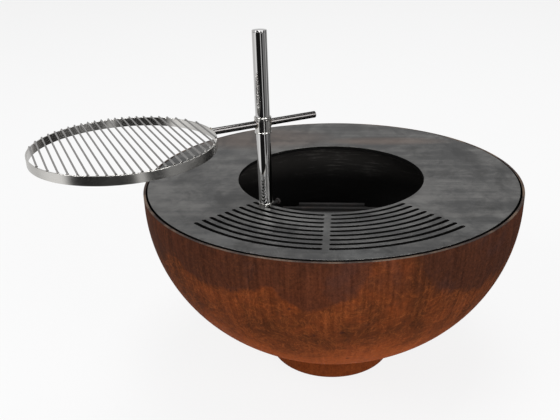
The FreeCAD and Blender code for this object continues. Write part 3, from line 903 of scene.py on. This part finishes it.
def make_foot():
    """The fork that straddles the bar of plate between the fire hole and the first slot."""
    inner_gap = HOLE_RADIUS - FOOT_PLAY - POST_CIRCLE
    outer_gap = SLOT_FIRST - SLOT_HALF + FOOT_PLAY - POST_CIRCLE
    outer_end = SLOT_FIRST + SLOT_HALF - FOOT_PLAY - POST_CIRCLE
    low = bottom("post_foot")
    seat = PLATE_TOP + 0.1 * MM
    head_top = bottom("post_tube")
    line = Outline(0, seat).line((FOOT_RADIUS, seat), (FOOT_RADIUS, head_top), (0, head_top))
    head = round_edges(line.turned(96, closed=False), 1.2 * MM, sharper_than=60)
    tall = seat - low + 1 * MM
    inner = moved(jaw(-FOOT_RADIUS, inner_gap, tall), (0, 0, low))
    outer = moved(jaw(outer_gap, outer_end, tall), (0, 0, low))
    fork = moved(joined(head, inner, outer), (POST.x, POST.y, 0), POST_TURN)
    finished("fork_foot", fork, "post", [TURNED], ["post_foot"])


def make_clamp_screw():
    """The screw through the inner jaw, whose tip bears on the edge of the fire hole."""
    level = (PLATE_TOP + PLATE_BOTTOM) / 2
    length = 34 * MM
    head_tall = 6 * MM
    start = HOLE_RADIUS - 0.4 * MM - POST_CIRCLE - length
    shank = moved(thread(4 * MM, length, 1.25 * MM), (start, 0, level), tilt=LYING)
    head = moved(hexagon(13 * MM, head_tall), (start - head_tall, 0, level), tilt=LYING)
    screw = moved(joined(shank, head), (POST.x, POST.y, 0), POST_TURN)
    finished("fork_screw", screw, "post", [IRON], ["clamp_screw"])


# ------------------------------------------------------------------ sleeve, arm and grill


COLLAR_RADIUS = 20.3 * MM
COLLAR_BORE = 16.9 * MM
SLEEVE_BORE = 16.95 * MM
ARM_WALL = 1.5 * MM
HANDLE_END = 139 * MM
WELD_SPOT = (3.2 * MM, 2.2 * MM, 1.8 * MM)
GRILL_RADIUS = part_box("grill_band")[1].x - RING.x


def on_arm(bm, out, turn=0.0):
    """Puts a shape made along X on the line of the arm, out from the axis of the post."""
    return moved(moved(bm, (out, 0, ARM_LEVEL), turn), (POST.x, POST.y, 0), ARM_TURN)


def make_collar():
    """The ring above the sleeve that carries it up and down the post."""
    ring = tube(COLLAR_RADIUS, COLLAR_BORE, height("friction_ring"), 1.5 * MM, 96)
    ring = moved(ring, (POST.x, POST.y, bottom("friction_ring")))
    finished("height_collar", ring, "height_ring", [TURNED],
             ["friction_ring"])


def make_sleeve():
    """The sleeve that turns on the post, with a thicker lip at each end."""
    wall = SLEEVE_RADIUS
    lip = wall + 0.9 * MM
    tall = height("swivel_sleeve")
    line = Outline(SLEEVE_BORE, 0)
    line.line((lip, 0), (lip, 2.6 * MM), (wall, 3.6 * MM))
    line.line((wall, tall - 3.2 * MM), (lip, tall - 2.4 * MM), (lip, tall), (SLEEVE_BORE, tall))
    sleeve = round_edges(line.turned(96), 0.5 * MM, segments=2, sharper_than=30)
    sleeve = moved(sleeve, (POST.x, POST.y, bottom("swivel_sleeve")))
    finished("swivel_socket", sleeve, "grill", [TURNED], ["swivel_sleeve"])


def make_arm():
    """The arm to the grill and the handle behind it."""
    start = SLEEVE_RADIUS - 1.9 * MM
    length = REACH.length - GRILL_RADIUS + 0.5 * MM - start
    arm = moved(tube(ARM_RADIUS, ARM_RADIUS - ARM_WALL, length, 0.3 * MM), tilt=LYING)
    finished("grill_arm", on_arm(arm, start), "grill", [SATIN], ["arm_tube"])
    length = HANDLE_END - start
    handle = moved(tube(ARM_RADIUS, ARM_RADIUS - ARM_WALL, length, 0.5 * MM), tilt=LYING)
    finished("grill_handle", on_arm(handle, -start, math.pi), "grill", [SATIN],
             ["handle_tube"])


def make_arm_welds():
    """The welds at both sides of the sleeve and at the band of the grill."""
    beads = [on_arm(weld_ring(SLEEVE_RADIUS, ARM_RADIUS + 0.6 * MM, 1.8 * MM), 0, turn)
             for turn in (0.0, math.pi)]
    ring = weld_ring(GRILL_RADIUS, ARM_RADIUS + 0.4 * MM, 1.6 * MM)
    ring = moved(ring, (0, 0, ARM_LEVEL), math.pi)
    beads.append(moved(ring, (RING.x, RING.y, 0), ARM_TURN))
    finished("arm_welds", joined(*beads), "grill", [HEAT_TINT])


def weld_spot(place, turn):
    """A flattened drop of weld."""
    spot = bmesh.new()
    bmesh.ops.create_icosphere(spot, subdivisions=2, radius=1)
    bmesh.ops.scale(spot, verts=spot.verts, vec=WELD_SPOT)
    return moved(spot, place, turn)


def wire_and_spots(across, outer):
    """One wire of the grill, laid a little unevenly, and the spot of weld at each of its ends."""
    half = math.sqrt((outer - 0.5 * MM) ** 2 - (abs(across) + WIRE_RADIUS) ** 2)
    sway = chance.uniform(-0.5, 0.5) * MM
    wire = moved(rod(WIRE_RADIUS, 2 * half, 0.5 * MM, 16), (0, 0, -half))
    along_y = Matrix.Rotation(QUARTER, 4, "X")
    wire = moved(wire, (across + sway, 0, top("grill_band") + WIRE_RADIUS), tilt=along_y)
    at = math.sqrt((outer - WELD_SPOT[0]) ** 2 - across ** 2)
    spots = [weld_spot((across + sway, end * at, top("grill_band") + 0.6 * MM),
                       chance.uniform(-0.3, 0.3)) for end in (1, -1)]
    return wire, spots


def make_grill():
    """The round band with its wires, and a spot of weld at each end of every wire."""
    outer = GRILL_RADIUS - 0.1 * MM
    band = moved(tube(outer, outer - 3 * MM, height("grill_band"), 0.5 * MM, 192),
                 (RING.x, RING.y, bottom("grill_band")))
    finished("grill_hoop", band, "grill", [BRUSHED], ["grill_band"])
    wires = []
    spots = []
    for index in range(WIRE_COUNT):
        wire, ends = wire_and_spots((index - (WIRE_COUNT - 1) / 2) * WIRE_PITCH, outer)
        wires.append(wire)
        spots += ends
    turn = ARM_TURN + WIRE_SKEW
    rods = moved(joined(*wires), (RING.x, RING.y, 0), turn)
    finished("grill_rods", rods, "grill", [WIRE], ["grill_wires"])
    welds = moved(joined(*spots), (RING.x, RING.y, 0), turn)
    finished("rod_welds", welds, "grill", [WIRE])


# ------------------------------------------------------------------ studio

PALE = 0.913
# What shining steel sees round it, as white sheets and black cards would show: share of a turn
# from -X through -Y, and brightness
ROOM = [
    (0.00, 0.62), (0.05, 0.85), (0.098, 0.95), (0.112, 0.45), (0.124, 0.01), (0.290, 0.01),
    (0.300, 0.80), (0.312, 0.80), (0.322, 0.01), (0.372, 0.02), (0.392, 0.24), (0.505, 0.16),
    (0.515, 0.70), (0.530, 0.70), (0.540, 0.14), (0.60, 0.12), (0.66, 0.42), (0.72, 0.50),
    (0.78, 0.64), (0.84, 0.70), (1.00, 0.62),
]


def grey(level):
    """A grey for an Emission, Mix or Background socket."""
    return (level, level, level, 1.0)


def surround(graph, x, y):
    """The brightness of the room in the direction x, y."""
    turn = graph.maths("ARCTAN2", y, x) / FULL_TURN + 0.5
    return graph.node("ShaderNodeValToRGB", values={0: turn},
                      stops=[(place, grey(level)[:3]) for place, level in ROOM])


def make_floor():
    """A pale sheet that hardly takes a shadow, with dark cards on it for what shines."""
    bm = bmesh.new()
    bmesh.ops.create_circle(bm, cap_ends=True, segments=96, radius=30)
    mesh = bpy.data.meshes.new("floor")
    bm.to_mesh(mesh)
    bm.free()
    floor = bpy.data.objects.new("floor", mesh)
    bpy.context.scene.collection.objects.link(floor)
    f = Finish("pale_floor")
    shining = f.node("ShaderNodeLightPath", out="Is Glossy Ray")
    matt = f.node("ShaderNodeBsdfDiffuse", values={"Color": (0.80, 0.80, 0.81, 1.0)})
    tone = f.mix(shining, grey(0.93), surround(f, f.x, f.y))
    glow = f.node("ShaderNodeEmission", values={"Color": tone, "Strength": 1.0})
    both = f.node("ShaderNodeMixShader", values={0: 0.90 + shining * 0.10, 1: matt, 2: glow})
    f.end("ShaderNodeOutputMaterial", both)
    mesh.materials.append(f.material)


def softbox(name, place, aim, size, power):
    """A broad rectangular lamp that shines at a point."""
    lamp = bpy.data.lights.new(name, "AREA")
    lamp.shape = "RECTANGLE"
    lamp.size, lamp.size_y = size
    lamp.energy = power
    item = bpy.data.objects.new(name, lamp)
    item.location = place
    item.rotation_euler = (Vector(aim) - Vector(place)).to_track_quat("-Z", "Y").to_euler()
    item.visible_camera = False
    bpy.context.scene.collection.objects.link(item)


def make_world():
    """A plain pale surround for the eye, and a room with darker walls for what shines."""
    world = bpy.data.worlds.new("studio")
    bpy.context.scene.world = world
    world.use_nodes = True
    w = Graph(world.node_tree)
    x, y, z = w.axes(w.node("ShaderNodeTexCoord", out="Generated"))
    ceiling = w.step(z, 0.36, 0.64)
    room = w.mix(ceiling, surround(w, x, y), grey(0.15))
    shining = w.node("ShaderNodeLightPath", out="Is Glossy Ray")
    seen = w.node("ShaderNodeLightPath", out="Is Camera Ray")
    light = w.mix(seen, w.mix(shining, grey(0.50), room), grey(PALE))
    sky = w.node("ShaderNodeBackground", values={"Color": light, "Strength": 1.0})
    w.end("ShaderNodeOutputWorld", sky)


def make_lights():
    aim = (0, 0, 0.45)
    softbox("key_left", (-6.7, -4.8, 6.7), aim, (4.2, 4.2), 540)
    softbox("fill_right", (7.0, -5.4, 4.2), aim, (3.8, 4.8), 410)
    softbox("overhead", (0.5, 1.0, 8.3), aim, (3.8, 3.8), 400)
    softbox("front", (0.6, -7.0, 3.1), aim, (3.2, 1.6), 220)


def make_camera():
    """Before the slotted front and above the plate, turned a little left, tipped and rolled."""
    place = Vector((0.0382, -1.7225, 1.1905))
    yaw, pitch, roll = (math.radians(a) for a in (-5.904, 23.664, 1.835))
    ahead = Vector((math.sin(yaw) * math.cos(pitch), math.cos(yaw) * math.cos(pitch),
                    -math.sin(pitch)))
    level = Vector((math.cos(yaw), -math.sin(yaw), 0))
    down = ahead.cross(level)
    right = level * math.cos(roll) + down * math.sin(roll)
    up = level * math.sin(roll) - down * math.cos(roll)
    turn = Matrix((right, up, -ahead)).transposed().to_4x4()
    camera = bpy.data.objects.new("camera", bpy.data.cameras.new("camera"))
    camera.data.lens = 43.53
    camera.data.sensor_width = 36
    camera.matrix_world = Matrix.Translation(place) @ turn
    bpy.context.scene.collection.objects.link(camera)
    bpy.context.scene.camera = camera
    bpy.context.scene.view_settings.view_transform = "Standard"


make_camera()
make_world()
make_lights()
make_floor()
make_bowl()
make_base()
make_drain()
make_supports()
make_cooking_ring()
make_centring_pins()
make_grate_top()
make_grate_stand()
make_post()
make_foot()
make_clamp_screw()
make_collar()
make_sleeve()
make_arm()
make_arm_welds()
make_grill()
